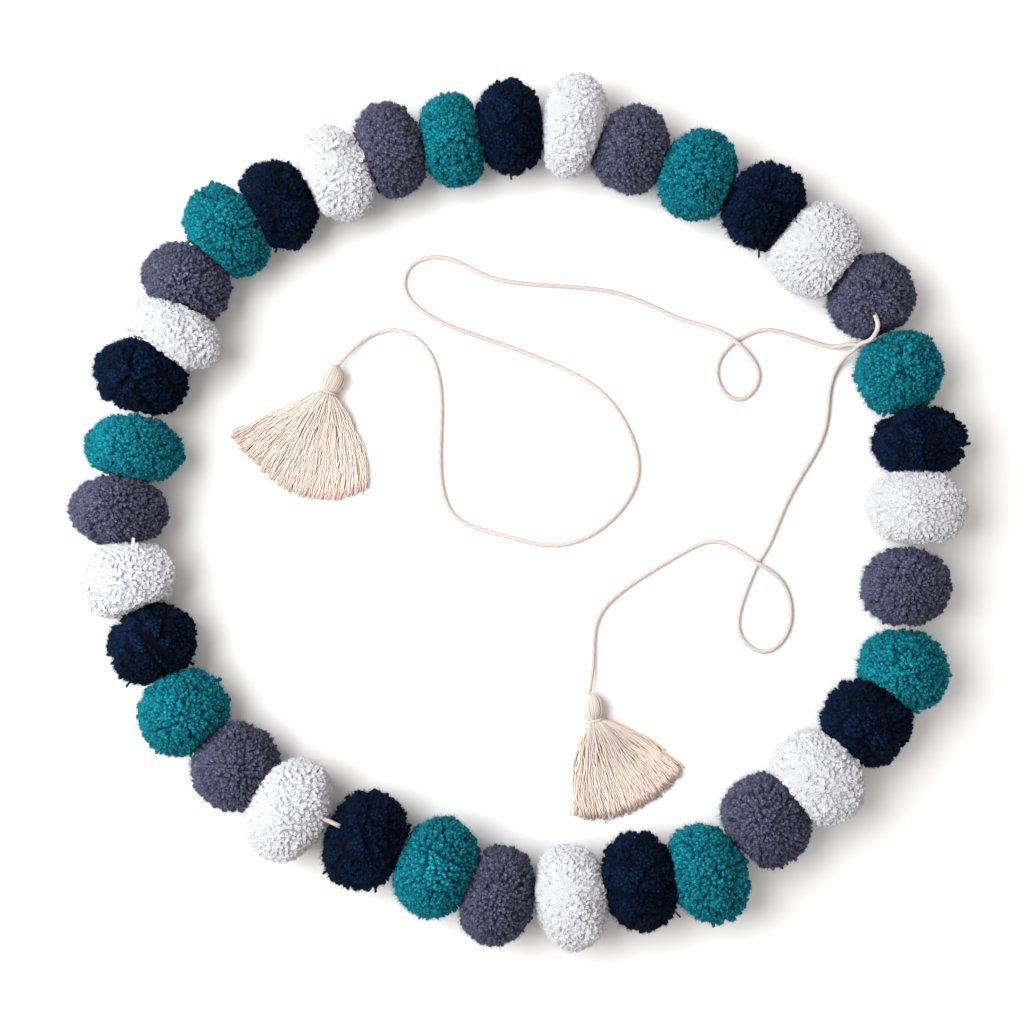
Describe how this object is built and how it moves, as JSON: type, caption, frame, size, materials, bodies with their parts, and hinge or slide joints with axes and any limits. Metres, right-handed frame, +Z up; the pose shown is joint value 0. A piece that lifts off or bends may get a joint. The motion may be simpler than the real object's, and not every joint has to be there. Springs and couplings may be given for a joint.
{
  "type": "pompom garland",
  "caption": "A ring of cut yarn pompoms threaded on a cotton cord, whose two free ends loop inside the ring and end in fanned cotton tassels.",
  "frame": {"origin": "on the surface that the garland lies on, under the middle of the ring of pompoms", "axes": "+Z up from the surface, +X to the right and +Y to the top of the picture, which looks straight down"},
  "size_m": [0.5835, 0.5684, 0.0661],
  "materials": {
    "teal_yarn": "matt cut yarn",
    "navy_yarn": "matt cut yarn",
    "white_yarn": "matt cut yarn",
    "grey_yarn": "matt cut yarn",
    "cotton_cord": "soft cotton",
    "tassel_cotton": "soft cotton",
    "tie_thread": "soft cotton"
  },
  "bodies": {
    "root": {"pompom_01_teal": "teal_yarn", "pompom_02_navy": "navy_yarn", "pompom_03_white": "white_yarn", "pompom_04_grey": "grey_yarn", "pompom_05_teal": "teal_yarn", "pompom_06_navy": "navy_yarn", "pompom_07_white": "white_yarn", "pompom_08_grey": "grey_yarn", "pompom_09_teal": "teal_yarn", "pompom_10_navy": "navy_yarn", "pompom_11_white": "white_yarn", "pompom_12_grey": "grey_yarn", "pompom_13_teal": "teal_yarn", "pompom_14_navy": "navy_yarn", "pompom_15_white": "white_yarn", "pompom_16_grey": "grey_yarn", "pompom_17_teal": "teal_yarn", "pompom_18_navy": "navy_yarn", "pompom_19_white": "white_yarn", "pompom_20_grey": "grey_yarn", "pompom_21_teal": "teal_yarn", "pompom_22_navy": "navy_yarn", "pompom_23_white": "white_yarn", "pompom_24_grey": "grey_yarn", "pompom_25_teal": "teal_yarn", "pompom_26_navy": "navy_yarn", "pompom_27_white": "white_yarn", "pompom_28_grey": "grey_yarn", "pompom_29_teal": "teal_yarn", "pompom_30_navy": "navy_yarn", "pompom_31_white": "white_yarn", "pompom_32_grey": "grey_yarn", "pompom_33_teal": "teal_yarn", "pompom_34_navy": "navy_yarn", "pompom_35_white": "white_yarn", "pompom_36_grey": "grey_yarn", "threaded_cord": "cotton_cord", "long_cord_end": "cotton_cord", "short_cord_end": "cotton_cord", "long_end_tassel": "tassel_cotton", "short_end_tassel": "tassel_cotton", "long_end_tie": "tie_thread", "short_end_tie": "tie_thread"}
  },
  "joints": []
}
